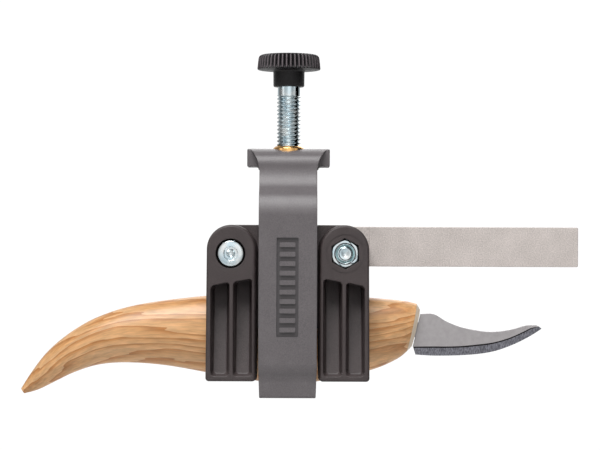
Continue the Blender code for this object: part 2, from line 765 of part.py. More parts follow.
def oval(top, bottom, half_thickness, sides=24):
    """A ring of points round the handle, from its top and bottom points and its half thickness."""
    middle = Vector(((top[0] + bottom[0]) / 2, 0, (top[1] + bottom[1]) / 2))
    up = Vector((top[0], 0, top[1])) - middle
    across = Vector((0, half_thickness, 0))
    angles = [2 * math.pi * i / sides for i in range(sides)]
    return [middle + up * math.cos(a) + across * math.sin(a) for a in angles]


def make_handle(pieces, cutters, wood):
    flat = [(*top, *bottom, half) for top, bottom, half in HANDLE_STATIONS]
    rings = []
    for i in range(len(flat) - 1):
        for step in range(HANDLE_STEPS):
            x1, z1, x2, z2, half = smooth_between(flat, i, step / HANDLE_STEPS)
            rings.append(oval((x1, z1), (x2, z2), half))
    rings.append(oval(*HANDLE_STATIONS[-1]))
    rings.append(oval(*HANDLE_FACE))
    handle = loft("knife_handle", rings, pieces)
    low_x, _, low_z, high_z = TANG
    side = TANG_THICKNESS / 2 + RESIN_WALL + 2 * GAP
    height = RESIN_WALL + 2 * GAP
    slot = box(
        "tang_slot", (low_x - 0.001, -side, low_z - height), (0.05, side, high_z + height), cutters
    )
    combine(handle, slot, "DIFFERENCE")
    handle.data.materials.append(wood)
    return handle


def make_blade(pieces, cutters, steel):
    """The curved blade, ground from the line at mid height to its edge, and the tang behind it."""
    rings = []
    for back, grind, edge, half in BLADE_STATIONS:
        corners = [(back, half), (grind, half), (edge, EDGE_HALF_THICKNESS)]
        ring = [(x, -y, z) for (x, z), y in corners]
        ring += [(x, y, z) for (x, z), y in reversed(corners)]
        rings.append(ring)
    blade = loft("knife_blade", rings, pieces)
    low_x, high_x, low_z, high_z = TANG
    half = TANG_THICKNESS / 2
    combine(blade, box("tang", (low_x, -half, low_z), (high_x, half, high_z), cutters), "UNION")
    blade.data.materials.append(steel)
    return blade


def make_resin(pieces, cutters, resin):
    """The resin sleeve between the tang and the slot in the handle."""
    low_x, _, low_z, high_z = TANG
    inner = TANG_THICKNESS / 2 + GAP
    outer = inner + RESIN_WALL
    end = 0.0395
    sleeve = box(
        "tang_resin",
        (low_x - 0.0005, -outer, low_z - GAP - RESIN_WALL),
        (end, outer, high_z + GAP + RESIN_WALL),
        pieces,
    )
    slot = box("resin_slot", (low_x - GAP, -inner, low_z - GAP), (0.05, inner, high_z + GAP), cutters)
    combine(sleeve, slot, "DIFFERENCE")
    sleeve.data.materials.append(resin)
    return sleeve


# ---------------------------------------------------------------- assembly


def main():
    for obj in list(bpy.data.objects):
        bpy.data.objects.remove(obj, do_unlink=True)
    pieces = fresh_collection(PIECES)
    cutters = fresh_collection(CUTTERS)

    nylon = material("dark_nylon", (0.085, 0.072, 0.070), 0.55)
    paint = material("grey_paint", (0.145, 0.135, 0.140), 0.42, 0.2)
    bare_steel = material("bare_steel", (0.60, 0.57, 0.53), 0.45, 0.9)
    blade_steel = material("blade_steel", (0.30, 0.30, 0.31), 0.35, 0.9)
    zinc = material("zinc", (0.72, 0.76, 0.78), 0.25, 1.0)
    brass = material("brass", (0.80, 0.52, 0.20), 0.3, 1.0)
    black = material("black_plastic", (0.02, 0.018, 0.02), 0.5)
    white = material("lock_nylon", (0.55, 0.68, 0.68), 0.5)
    wood = material("wood", (0.55, 0.33, 0.16), 0.4)
    resin = material("resin", (0.35, 0.24, 0.12), 0.3)

    made = make_jaws(pieces, cutters, nylon)
    made += make_tongue(pieces, cutters, bare_steel)
    for name, side in (("left", -1), ("right", 1)):
        made.append(make_bolt("bolt_" + name, side, pieces, cutters, zinc))
        made.append(make_nut("nut_" + name, side, pieces, cutters, zinc))
        made.append(make_lock_ring("lock_ring_" + name, side, pieces, white))
    made.append(make_screw_seat(pieces, cutters, bare_steel))
    made.append(make_retaining_ring(pieces, bare_steel))
    made.append(make_screw(pieces, zinc))
    made.append(make_knob(pieces, black))
    made.append(make_yoke(pieces, cutters, paint))
    made.append(make_bush(pieces, brass))
    made.append(make_handle(pieces, cutters, wood))
    made.append(make_blade(pieces, cutters, blade_steel))
    made.append(make_resin(pieces, cutters, resin))

    holder = bpy.data.objects.new("holder", None)
    pieces.objects.link(holder)
    holder.location = (
        -(TONGUE_START + TONGUE_END) / 2,
        TONGUE_THICKNESS / 2,
        -(TONGUE_TOP + TONGUE_BOTTOM) / 2,
    )
    for obj in made + list(cutters.objects):
        obj.parent = holder


main()
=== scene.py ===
"""A screw clamp for small knives with a carving knife held in it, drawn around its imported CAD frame."""

import math

import bmesh
import bpy
from mathutils import Matrix, Vector


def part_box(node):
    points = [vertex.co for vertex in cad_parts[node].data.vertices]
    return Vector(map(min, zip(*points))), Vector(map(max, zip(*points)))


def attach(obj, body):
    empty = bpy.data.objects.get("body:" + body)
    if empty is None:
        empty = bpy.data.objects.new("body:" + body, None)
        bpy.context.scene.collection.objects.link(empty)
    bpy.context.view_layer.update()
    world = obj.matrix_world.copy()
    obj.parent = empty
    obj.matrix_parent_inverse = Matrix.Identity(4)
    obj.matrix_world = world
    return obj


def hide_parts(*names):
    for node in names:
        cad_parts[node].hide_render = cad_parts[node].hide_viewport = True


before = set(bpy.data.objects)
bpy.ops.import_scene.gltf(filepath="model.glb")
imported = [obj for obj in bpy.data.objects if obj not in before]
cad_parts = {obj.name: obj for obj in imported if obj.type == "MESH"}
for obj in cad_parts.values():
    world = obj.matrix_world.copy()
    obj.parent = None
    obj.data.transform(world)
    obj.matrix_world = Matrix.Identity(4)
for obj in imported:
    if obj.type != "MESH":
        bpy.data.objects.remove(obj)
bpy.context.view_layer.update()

# ---------------------------------------------------------------- the two jaws
# Two equal halves moulded in dark glass-filled nylon, each with two legs on a bridge. The legs have a
# round top, two deep drafted pockets in front, and between them a V that the knife handle is drawn into.

MM = 0.001  # the pieces are drawn in millimetres, about the clamp screw's axis at the top of the jaws
screw_low, screw_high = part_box("clamp_screw")
ORIGIN = Vector(
    ((screw_low.x + screw_high.x) / 2, (screw_low.y + screw_high.y) / 2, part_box("jaw_front")[1].z)
)
GAP = 0.3

JAW_FACE = -17.0
JAW_BACK = -0.15
BRIDGE_FACE = -12.5
BRIDGE_FOOT = -33.0
LEG_FOOT = -49.7
LEG_INNER, LEG_OUTER = 9.6, 25.7
LEG_DRAFT = 0.35
LEG_FLARE = 0.75  # the inner wall leans out this much from the face to the bridge
V_ROOF = -20.5
V_MIDDLE, V_HALF = -36.8, 10.3
V_SLOPE = math.tan(math.radians(14))
POCKET_WALL = 2.1
POCKET_FOOT = -48.1
BOLT_X, BOLT_Z = 18.2, -9.1
NUT_TURN = math.radians(2)
SPINE_HALF = 9.3
EASED_ANGLE = 0.7  # radians; edges flatter than this keep no round


def slab(corners, low, high, plane="XZ", segments=10):
    """A block: an outline of (u, v, rounding) corners, extruded across its plane from low to high."""
    bm = bmesh.new()
    at = {"XZ": lambda u, v: (u, low, v), "YZ": lambda u, v: (low, u, v), "XY": lambda u, v: (u, v, low)}[plane]
    verts = [bm.verts.new(at(u, v)) for u, v, _ in corners]
    bm.faces.new(verts)
    for vert, (_, _, rounding) in zip(verts, corners):
        if rounding:
            bmesh.ops.bevel(
                bm, geom=[vert], offset=rounding, segments=segments, profile=0.5, affect="VERTICES", material=-1
            )
    across = {"XZ": (0, high - low, 0), "YZ": (high - low, 0, 0), "XY": (0, 0, high - low)}[plane]
    grown = bmesh.ops.extrude_face_region(bm, geom=bm.faces[:])
    moved = [g for g in grown["geom"] if isinstance(g, bmesh.types.BMVert)]
    bmesh.ops.translate(bm, verts=moved, vec=across)
    bmesh.ops.recalc_face_normals(bm, faces=bm.faces)
    return bm


def block(low, high):
    """A rectangular block between two corners."""
    size = [h - l for l, h in zip(low, high)]
    middle = [(l + h) / 2 for l, h in zip(low, high)]
    bm = bmesh.new()
    bmesh.ops.create_cube(bm, matrix=Matrix.Translation(middle) @ Matrix.Diagonal((*size, 1)))
    return bm


def rod(radius, low, high, axis="Z", centre=(0, 0), sides=64, turn=0.0):
    """A cylinder, or a prism with few sides, from low to high along Y or Z."""
    bm = bmesh.new()
    bmesh.ops.create_cone(
        bm, cap_ends=True, segments=sides, radius1=radius, radius2=radius, depth=high - low,
        matrix=Matrix.Rotation(turn, 4, "Z"),
    )
    if axis == "Y":
        bmesh.ops.rotate(bm, verts=bm.verts, matrix=Matrix.Rotation(math.radians(90), 3, "X"))
        bmesh.ops.translate(bm, verts=bm.verts, vec=(centre[0], (low + high) / 2, centre[1]))
    else:
        bmesh.ops.translate(bm, verts=bm.verts, vec=(centre[0], centre[1], (low + high) / 2))
    return bm


def as_object(bm):
    """A shape as an object, its faces outwards."""
    if bm.calc_volume(signed=True) < 0:
        bmesh.ops.reverse_faces(bm, faces=bm.faces)
    mesh = bpy.data.meshes.new("work")
    bm.to_mesh(mesh)
    bm.free()
    obj = bpy.data.objects.new("work", mesh)
    bpy.context.scene.collection.objects.link(obj)
    return obj


def final_mesh(obj):
    """The object's mesh with its modifiers worked in; the object itself goes."""
    evaluated = obj.evaluated_get(bpy.context.evaluated_depsgraph_get())
    mesh = bpy.data.meshes.new_from_object(evaluated)
    bpy.data.objects.remove(obj)
    return mesh


def worked(blank, joined=(), cut=()):
    """The blank with some shapes joined to it and others cut out, its stray points welded."""
    obj = as_object(blank)
    others = []
    for operation, shapes in (("UNION", joined), ("DIFFERENCE", cut)):
        for shape in shapes:
            others.append(as_object(shape))
            boolean = obj.modifiers.new("work", "BOOLEAN")
            boolean.operation = operation
            boolean.solver = "EXACT"
            boolean.object = others[-1]
    mesh = final_mesh(obj)
    for other in others:
        bpy.data.objects.remove(other)
    bm = bmesh.new()
    bm.from_mesh(mesh)
    bpy.data.meshes.remove(mesh)
    bmesh.ops.remove_doubles(bm, verts=bm.verts, dist=0.004)
    bmesh.ops.dissolve_degenerate(bm, edges=bm.edges, dist=0.002)
    bmesh.ops.recalc_face_normals(bm, faces=bm.faces)
    return bm


def eased(bm, width, picked=None):
    """The shape with a small round on its sharp edges, or on those of them that are picked."""
    sharp = [e for e in bm.edges if len(e.link_faces) == 2 and e.calc_face_angle() > EASED_ANGLE]
    edges = [e for e in sharp if picked is None or picked(e)]
    bmesh.ops.bevel(
        bm, geom=edges, offset=width, segments=2, profile=0.5, affect="EDGES", clamp_overlap=False, material=-1
    )
    return bm


def settle(bm, name, material, body, node, sharp=35.0, edge=0.0):
    """Puts a finished shape in the row frame, with its edges broken by a small round when an edge width is given."""
    bmesh.ops.recalc_face_normals(bm, faces=bm.faces)
    bmesh.ops.scale(bm, verts=bm.verts, vec=(MM, MM, MM))
    bmesh.ops.translate(bm, verts=bm.verts, vec=ORIGIN)
    mesh = bpy.data.meshes.new(name)
    bm.to_mesh(mesh)
    bm.free()
    mesh.shade_smooth()
    mesh.set_sharp_from_angle(angle=math.radians(sharp))
    mesh.materials.append(material)
    obj = bpy.data.objects.new(name, mesh)
    bpy.context.scene.collection.objects.link(obj)
    if edge:
        bevel = obj.modifiers.new("edges", "BEVEL")
        bevel.width = edge * MM
        bevel.segments = 2
        bevel.limit_method = "ANGLE"
        bevel.angle_limit = math.radians(sharp)
        bevel.use_clamp_overlap = False
    flats = obj.modifiers.new("flats", "WEIGHTED_NORMAL")
    flats.keep_sharp = True
    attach(obj, body)
    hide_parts(node)
    return obj


def add(tree, kind, values=(), **settings):
    """A node whose sockets take numbers or other nodes' outputs."""
    made = tree.nodes.new(kind)
    for key, value in settings.items():
        setattr(made, key, value)
    for socket, value in dict(values).items():
        if isinstance(value, bpy.types.NodeSocket):
            tree.links.new(value, made.inputs[socket])
        else:
            made.inputs[socket].default_value = value
    return made


def finish(name, colour, roughness, metallic=0.0, **more):
    """A material with a plain finish, and its node tree, shader and coordinates for a pattern."""
    made = bpy.data.materials.new(name)
    made.use_nodes = True
    tree = made.node_tree
    shader = tree.nodes["Principled BSDF"]
    shader.inputs["Base Color"].default_value = (*colour, 1)
    shader.inputs["Roughness"].default_value = roughness
    shader.inputs["Metallic"].default_value = metallic
    for key, value in more.items():
        shader.inputs[key.replace("_", " ")].default_value = value
    place = add(tree, "ShaderNodeTexCoord").outputs["Object"]
    return made, tree, shader, place


def new_group(name, inputs, outputs):
    """An empty node group with the named sockets, and its input and output nodes."""
    tree = bpy.data.node_groups.new(name, "ShaderNodeTree")
    for label, kind in inputs:
        tree.interface.new_socket(label, in_out="INPUT", socket_type="NodeSocket" + kind)
    for label, kind in outputs:
        tree.interface.new_socket(label, in_out="OUTPUT", socket_type="NodeSocket" + kind)
    return tree, tree.nodes.new("NodeGroupInput").outputs, tree.nodes.new("NodeGroupOutput").inputs


def grain_group():
    """Fine grain of a moulded, cast or blasted surface: a colour from dark to light, and a normal."""
    tree, given, out = new_group(
        "surface grain",
        [("Vector", "Vector"), ("Grains", "Float"), ("Depth", "Float"), ("Dark", "Color"), ("Light", "Color")],
        [("Color", "Color"), ("Normal", "Vector")],
    )
    fine = add(tree, "ShaderNodeTexNoise", {"Vector": given["Vector"], "Scale": given["Grains"], "Detail": 3.0})
    broad = add(tree, "ShaderNodeTexNoise", {"Vector": given["Vector"], "Scale": 140.0, "Detail": 2.0})
    both = add(
        tree, "ShaderNodeMath", {0: broad.outputs[0], 1: 0.3, 2: fine.outputs[0]}, operation="MULTIPLY_ADD"
    )
    spread = add(
        tree, "ShaderNodeMapRange", {"Value": both.outputs[0], "From Min": 0.4, "From Max": 0.9}
    )
    colour = add(
        tree, "ShaderNodeMix", {0: spread.outputs[0], 6: given["Dark"], 7: given["Light"]}, data_type="RGBA"
    )
    bump = add(tree, "ShaderNodeBump", {"Height": fine.outputs[0], "Distance": given["Depth"], "Strength": 1.0})
    tree.links.new(colour.outputs[2], out["Color"])
    tree.links.new(bump.outputs[0], out["Normal"])
    return tree


GRAIN = grain_group()


def grained(tree, shader, place, grains, depth, dark, light):
    """Puts the grain group on a finish."""
    group = tree.nodes.new("ShaderNodeGroup")
    group.node_tree = GRAIN
    tree.links.new(place, group.inputs["Vector"])
    group.inputs["Grains"].default_value = grains
    group.inputs["Depth"].default_value = depth
    group.inputs["Dark"].default_value = (*dark, 1)
    group.inputs["Light"].default_value = (*light, 1)
    tree.links.new(group.outputs["Color"], shader.inputs["Base Color"])
    tree.links.new(group.outputs["Normal"], shader.inputs["Normal"])


nylon, tree, shader, place = finish("dark moulded nylon", (0.06, 0.05, 0.048), 0.5)
grained(tree, shader, place, 4200.0, 0.00008, (0.024, 0.017, 0.017), (0.072, 0.055, 0.055))


def leg(side):
    """One leg with its face rounded over and its inner wall leaning out towards the bridge."""
    bm = slab(
        [
            (side * LEG_INNER, LEG_FOOT, 1.1),
            (side * (LEG_OUTER + LEG_DRAFT), LEG_FOOT, 1.1),
            (side * LEG_OUTER, 0, 7.7),
            (side * LEG_INNER, 0, 8.3),
        ],
        BRIDGE_FACE, JAW_BACK, segments=14,
    )
    front = min(bm.faces, key=lambda f: f.calc_center_median().y)
    grown = bmesh.ops.extrude_face_region(bm, geom=[front])
    bmesh.ops.delete(bm, geom=[front], context="FACES_ONLY")
    moved = [g for g in grown["geom"] if isinstance(g, bmesh.types.BMVert)]
    bmesh.ops.translate(bm, verts=moved, vec=(0, JAW_FACE - BRIDGE_FACE, 0))
    middle = (LEG_INNER + LEG_OUTER) / 2
    for vert in moved:
        inward = max(0.0, (middle - side * vert.co.x) / (middle - LEG_INNER))
        vert.co.x += side * LEG_FLARE * inward
    bmesh.ops.recalc_face_normals(bm, faces=bm.faces)
    rim = [e for e in bm.edges if max(v.co.y for v in e.verts) < JAW_FACE + 0.01]
    bmesh.ops.bevel(bm, geom=rim, offset=0.8, segments=4, profile=0.5, affect="EDGES", material=-1)
    return bm


def pocket(side, near, far, near_top, far_top):
    """What is cut from a leg's face: a drafted pocket whose floor runs level with the V's wall."""
    bm = block((-1, -1, -1), (1, 1, 1))
    for vert in bm.verts:
        outer, back, top = vert.co.x > 0, vert.co.y > 0, vert.co.z > 0
        z = (far_top if outer else near_top) if top else POCKET_FOOT
        x = far if outer else near
        y = JAW_FACE - 0.05
        if back:
            x += -0.8 if outer else 0.8
            z += -0.3 if top else 0.7
            y = -(V_HALF + V_SLOPE * (V_MIDDLE - z) + POCKET_WALL)
        vert.co = (side * x, y, z)
    bmesh.ops.recalc_face_normals(bm, faces=bm.faces)
    runs = [
        e for e in bm.edges
        if abs(e.verts[0].co.y - e.verts[1].co.y) > 1 and abs(e.verts[0].co.z - e.verts[1].co.z) < 5
    ]
    bmesh.ops.bevel(bm, geom=runs, offset=1.15, segments=5, profile=0.5, affect="EDGES", material=-1)
    floor = max(bm.faces, key=lambda f: f.calc_center_median().y)
    bmesh.ops.bevel(bm, geom=floor.edges[:], offset=0.45, segments=3, profile=0.5, affect="EDGES", material=-1)
    return bm


def jaw_half():
    """One moulding: the bridge and two legs, with the V, the pockets, the slot and the holes cut out."""
    far = LEG_OUTER + 5
    roof = V_HALF + V_SLOPE * (V_MIDDLE - V_ROOF)
    mouth = V_HALF + V_SLOPE * (V_MIDDLE - LEG_FOOT + 10)
    reach = SPINE_HALF + GAP
    cuts = [
        slab(
            [(-roof, V_ROOF, 0), (roof, V_ROOF, 0), (mouth, LEG_FOOT - 10, 0), (-mouth, LEG_FOOT - 10, 0)],
            -far, far, "YZ",
        ),
        slab(
            [(-20, -5.6, 0), (-12.3, -5.6, 0), (-12.3, -2.2, 3.2), (-5.0, 2.07, 0), (-20, 2.07, 0)],
            -reach, reach, "YZ",
        ),
        block((-far, -1.6, -13.7), (far, 1.6, -2.2)),
        block((-7.3, -5.3, -4.1), (7.3, 5.3, -1.5)),
        rod(4.5, -1.8, 5),
        rod(5.3, -8.0, -3.8),
        rod(4.7, JAW_FACE - 1, -11.1, "Y", (-BOLT_X, BOLT_Z), 72),
        rod(4.3 / math.cos(math.radians(30)), JAW_FACE - 1, -10.6, "Y", (BOLT_X, BOLT_Z), 6, NUT_TURN),
    ]
    cuts += [rod(2.8, JAW_FACE - 1, 1, "Y", (x, BOLT_Z), 32) for x in (-BOLT_X, BOLT_X)]
    for side in (-1, 1):
        cuts += [pocket(side, 11.3, 17.35, -17.0, -18.1), pocket(side, 18.5, 24.5, -18.1, -19.4)]
        cuts.append(block((side * 24.0 - 5.3, -1.6, -13.6), (side * 24.0 + 5.3, 1.6, 1.0)))
    bridge_half = (LEG_INNER + LEG_OUTER) / 2
    bridge = block((-bridge_half, BRIDGE_FACE, BRIDGE_FOOT), (bridge_half, JAW_BACK, 0))
    bridge = eased(bridge, 0.3, lambda edge: all(v.co.y < -5 and v.co.z > -5 for v in edge.verts))
    return worked(bridge, [leg(-1), leg(1)], cuts)


half = eased(jaw_half(), 0.22, lambda edge: max(vert.co.y for vert in edge.verts) < JAW_FACE + 0.01)
ring = worked(
    rod(6.2, JAW_FACE - 1, JAW_FACE + 0.15, "Y", (BOLT_X, BOLT_Z), 72), [],
    [rod(5.9, JAW_FACE - 2, JAW_FACE + 1, "Y", (BOLT_X, BOLT_Z), 72)],
)
half = worked(half, [], [ring])
other_half = half.copy()
bmesh.ops.rotate(other_half, verts=other_half.verts, matrix=Matrix.Rotation(math.pi, 3, "Z"))
settle(half, "jaw_front_moulding", nylon, "root", "jaw_front", 40)
settle(other_half, "jaw_back_moulding", nylon, "root", "jaw_back", 40)

# ---------------------------------------------------------------- the tongue
# A flat steel bar, blasted to an even grey, that goes into a larger holder. Inside the jaws it is
# thinner, notched round the screw's tail and held by the two cap screws.

steel, tree, shader, place = finish("blasted steel", (0.6, 0.57, 0.53), 0.6, 0.1)
grained(tree, shader, place, 2600.0, 0.00005, (0.45, 0.405, 0.38), (0.76, 0.69, 0.655))

bar = slab(
    [(26.3, -13.4, 0), (94.3, -13.4, 0.5), (94.3, -0.5, 0.5), (26.3, -0.5, 0)], -1.5, 1.5, segments=5
)
thin_part = slab(
    [
        (-24.2, -13.4, 0.5), (27.3, -13.4, 0), (27.3, -0.5, 0), (19.0, -0.5, 0.5), (19.0, -2.5, 0), (7.6, -2.5, 0.4),
        (7.6, -7.6, 0.8), (-7.6, -7.6, 0.8), (-7.6, -2.5, 0.4), (-24.2, -2.5, 0.5),
    ],
    -1.3, 1.3, segments=5,
)
holes = [rod(2.8, -3, 3, "Y", (x, BOLT_Z), 40) for x in (-BOLT_X, BOLT_X)]
settle(worked(bar, [thin_part], holes), "tongue_bar", steel, "root", "tongue", 35, 0.2)

# ---------------------------------------------------------------- cap screws and lock nuts
# M5 socket cap screws, one from each side, zinc-plated with a knurled head, each in a lock nut with a
# nylon ring under its rolled collar. They clamp the jaws on the tongue.

zinc, tree, shader, place = finish("bright zinc", (0.68, 0.75, 0.78), 0.2, 1.0)
tint = add(tree, "ShaderNodeTexNoise", {"Vector": place, "Scale": 380.0, "Detail": 3.0})
tone = add(tree, "ShaderNodeValToRGB", {"Fac": tint.outputs[0]})
tone.color_ramp.elements[0].position = 0.35
tone.color_ramp.elements[0].color = (0.52, 0.63, 0.68, 1)
tone.color_ramp.elements[1].position = 0.65
tone.color_ramp.elements[1].color = (0.74, 0.77, 0.77, 1)
tree.links.new(tone.outputs[0], shader.inputs["Base Color"])
rough = add(
    tree, "ShaderNodeMapRange",
    {"Value": tint.outputs[0], "From Min": 0.3, "From Max": 0.7, "To Min": 0.14, "To Max": 0.30},
)
tree.links.new(rough.outputs[0], shader.inputs["Roughness"])

HEAD_SEAT, HEAD_HEIGHT, HEAD_R = 11.4, 5.0, 4.25
NUT_SEAT = 10.9


def turned(profile, steps=96):
    """A turned shape from its (radius, height) outline, top centre to bottom centre."""
    bm = bmesh.new()
    verts = [bm.verts.new((radius, 0, height)) for radius, height in profile]
    for first, second in zip(verts, verts[1:]):
        bm.edges.new((first, second))
    bmesh.ops.spin(
        bm, geom=bm.verts[:] + bm.edges[:], cent=(0, 0, 0), axis=(0, 0, 1), dvec=(0, 0, 0),
        angle=2 * math.pi, steps=steps, use_merge=True, use_duplicate=False,
    )
    bmesh.ops.remove_doubles(bm, verts=bm.verts, dist=0.0005)
    bmesh.ops.recalc_face_normals(bm, faces=bm.faces)
    return bm


def thread(major, minor, pitch, low, high, steps=40):
    """A screw thread with closed ends, from low to high on the Z axis."""
    bm = bmesh.new()
    flat, crest_highlight = pitch * 0.12, pitch * 0.14
    flank = (pitch - flat - crest_highlight) / 2
    start = low - 2 * pitch
    heights = [0, flat, flat + flank, flat + flank + crest_highlight, pitch]
    radii = [minor, minor, major, major, minor]
    verts = [bm.verts.new((r, 0, start + h)) for r, h in zip(radii, heights)]
    for first, second in zip(verts, verts[1:]):
        bm.edges.new((first, second))
    turns = math.ceil((high - low) / pitch) + 3
    bmesh.ops.spin(
        bm, geom=bm.verts[:] + bm.edges[:], cent=(0, 0, 0), axis=(0, 0, 1), dvec=(0, 0, pitch / steps),
        angle=2 * math.pi * turns, steps=steps * turns, use_merge=False, use_duplicate=False,
    )
    bmesh.ops.remove_doubles(bm, verts=bm.verts, dist=0.0005)
    for height, up in ((low, -1), (high, 1)):
        cut = bmesh.ops.bisect_plane(
            bm, geom=bm.verts[:] + bm.edges[:] + bm.faces[:], plane_co=(0, 0, height), plane_no=(0, 0, up),
            clear_outer=True, dist=0.00001,
        )
        rim = [g for g in cut["geom_cut"] if isinstance(g, bmesh.types.BMEdge)]
        bmesh.ops.edgeloop_fill(bm, edges=rim)
    bmesh.ops.recalc_face_normals(bm, faces=bm.faces)
    return bm


def cap_screw():
    """A cap screw along Z with its head up, its seat at HEAD_SEAT."""
    top = HEAD_SEAT + HEAD_HEIGHT
    head = turned(
        [
            (0, top), (3.35, top), (3.7, top - 0.05), (4.05, top - 0.22), (HEAD_R, top - 0.55),
            (HEAD_R, HEAD_SEAT + 0.25), (HEAD_R - 0.25, HEAD_SEAT), (0, HEAD_SEAT),
        ],
        192,
    )
    for vert in head.verts:
        radius = math.hypot(vert.co.x, vert.co.y)
        if radius > 4.2:
            knurl = 1 - 0.09 / radius * (1 + math.cos(48 * math.atan2(vert.co.y, vert.co.x)))
            vert.co.x *= knurl
            vert.co.y *= knurl
    end = HEAD_SEAT - 28
    shank = thread(2.47, 2.1, 0.8, end + 0.5, HEAD_SEAT - 5, 24)
    neck = rod(2.45, HEAD_SEAT - 5.2, HEAD_SEAT + 0.5, sides=48)
    tip = turned(
        [
            (0, end + 0.9), (2.12, end + 0.9), (2.12, end + 0.3), (1.85, end), (1.25, end), (0.8, end + 0.25),
            (0, end + 0.45),
        ],
        48,
    )
    socket = rod(2 / math.cos(math.radians(30)), top - 2.4, top + 1, sides=6)
    mouth = turned([(0, top + 0.5), (2.75, top + 0.5), (2.25, top - 0.1), (0, top - 0.1)], 48)
    drill = turned([(0, top - 1.8), (2.3, top - 1.8), (0, top - 3.4)], 48)
    return worked(head, [neck, shank, tip], [socket, mouth, drill])


def lock_nut():
    """A lock nut along Z, its seat at 0 and its collar up."""
    hexagon = rod(4.04 / math.cos(math.radians(30)), 0, 3.9, sides=6, turn=NUT_TURN)
    dome = turned([(0, 4.2), (3.9, 3.98), (4.75, 3.5), (4.75, 0.45), (3.8, -0.4), (0, -0.4)])
    collar = turned(
        [
            (0, 4.4), (2.85, 4.4), (2.92, 4.85), (3.05, 5.0), (3.2, 4.95), (3.36, 4.7), (3.4, 4.2), (3.4, 3.5),
            (0, 3.5),
        ]
    )
    seat = turned([(0, 6), (2.95, 6), (2.95, 4.5), (3.15, 4.35), (3.15, 3.6), (2.3, 3.0), (0, 3.0)], 72)
    obj = as_object(hexagon)
    cone = as_object(dome)
    both = obj.modifiers.new("work", "BOOLEAN")
    both.operation = "INTERSECT"
    both.solver = "EXACT"
    both.object = cone
    mesh = final_mesh(obj)
    bpy.data.objects.remove(cone)
    bm = bmesh.new()
    bm.from_mesh(mesh)
    return worked(bm, [collar], [seat, rod(2.6, -1, 6, sides=48)])


def laid_along_y(bm, side, seat, flip):
    """Turns a piece drawn along Z to lie along Y in the left (-1) or right (1) bolt hole."""
    bmesh.ops.translate(bm, verts=bm.verts, vec=(0, 0, seat))
    bmesh.ops.rotate(bm, verts=bm.verts, matrix=Matrix.Rotation(math.radians(flip), 3, "X"))
    bmesh.ops.translate(bm, verts=bm.verts, vec=(side * BOLT_X, 0, BOLT_Z))
    return bm


ring_nylon, tree, shader, place = finish("blue nylon", (0.30, 0.48, 0.50), 0.35)
for side, name in ((-1, "left"), (1, "right")):
    settle(
        laid_along_y(cap_screw(), side, 0, -90 * side), "cap_screw_" + name, zinc, "root",
        "bolt_" + name, 30, 0.06,
    )
    settle(
        laid_along_y(lock_nut(), side, NUT_SEAT, 90 * side), "lock_nut_" + name, zinc, "root",
        "nut_" + name, 30, 0.08,
    )
    ring = turned([(2.42, 4.6), (2.55, 4.72), (2.95, 4.72), (3.1, 4.6), (3.1, 3.75), (2.42, 3.75), (2.42, 4.6)], 72)
    settle(
        laid_along_y(ring, side, NUT_SEAT, 90 * side), "nut_insert_" + name, ring_nylon, "root",
        "lock_ring_" + name, 30,
    )

# ---------------------------------------------------------------- screw seat and clip
# A plain steel plate let into the jaws takes the screw's push, and an open clip in the groove of the
# screw's tail keeps the screw down. Neither shows once the clamp is together.

plain, tree, shader, place = finish("plain steel", (0.45, 0.45, 0.46), 0.35, 1.0)
grained(tree, shader, place, 2500.0, 0.00001, (0.38, 0.38, 0.39), (0.52, 0.52, 0.53))
for node in ("screw_seat", "retaining_ring"):
    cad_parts[node].data.materials.clear()
    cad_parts[node].data.materials.append(plain)

# ---------------------------------------------------------------- the clamp screw
# An M8 screw, zinc-plated like the fasteners, with a plain neck under the knob, a shoulder and a
# grooved tail. Its thread is rolled, 1.25 mm a turn.

SCREW_TOP, NECK_FOOT, SHOULDER, TAIL = 52.1, 41.9, -1.5, -6.3
screw = thread(3.9, 3.27, 1.25, SHOULDER, NECK_FOOT + 0.35, 48)
neck = turned(
    [
        (0, SCREW_TOP), (3.45, SCREW_TOP), (3.65, SCREW_TOP - 0.2), (3.65, NECK_FOOT + 0.1),
        (3.3, NECK_FOOT - 0.3), (0, NECK_FOOT - 0.3),
    ],
    72,
)
tail = turned(
    [
        (0, SHOULDER + 0.5), (2.5, SHOULDER + 0.5), (2.5, -3.95), (2.1, -3.95), (2.1, -5.25), (2.5, -5.25),
        (2.5, TAIL + 0.3), (2.2, TAIL), (0, TAIL),
    ],
    48,
)
settle(worked(screw, [neck, tail]), "clamp_screw_m8", zinc, "screw", "clamp_screw", 30)

# ---------------------------------------------------------------- the knob
# Black moulded plastic: a wide ribbed rim with a dished top, on a hub that is moulded round the
# screw's neck.

RIBS = 46
black, tree, shader, place = finish("black plastic", (0.008, 0.007, 0.008), 0.4, Specular_IOR_Level=0.3)
grained(tree, shader, place, 4000.0, 0.00002, (0.005, 0.004, 0.005), (0.012, 0.010, 0.011))
# painted highlight: the rib crests are coloured a lighter grey-mauve where the lamps' highlights would catch them
painted_crest_highlight = add(tree, "ShaderNodeAttribute", attribute_name="crest_highlight")
crest_highlight_colour = add(
    tree, "ShaderNodeMix",
    {0: painted_crest_highlight.outputs["Fac"], 6: (0.008, 0.007, 0.008, 1), 7: (0.16, 0.135, 0.145, 1)}, data_type="RGBA",
)
tree.links.new(crest_highlight_colour.outputs[2], shader.inputs["Base Color"])
RIM = [
    (0, 54.7), (6.0, 54.75), (6.6, 54.9), (7.1, 55.2), (7.7, 55.4), (8.9, 55.36), (9.5, 55.1),
    (9.8, 54.7), (9.95, 54.1), (10.1, 52.9), (10.2, 51.8), (10.3, 50.95), (10.15, 50.6),
    (9.8, 50.5), (5.6, 50.35), (5.2, 50.1), (5.1, 49.6), (5.05, 45.3), (4.8, 45.0), (4.15, 45.0),
    (3.85, 45.15), (3.95, 45.6), (3.95, 52.4), (0, 52.4),
]
knob = turned(RIM, RIBS * 10)
crest_highlight = knob.verts.layers.float.new("crest_highlight")
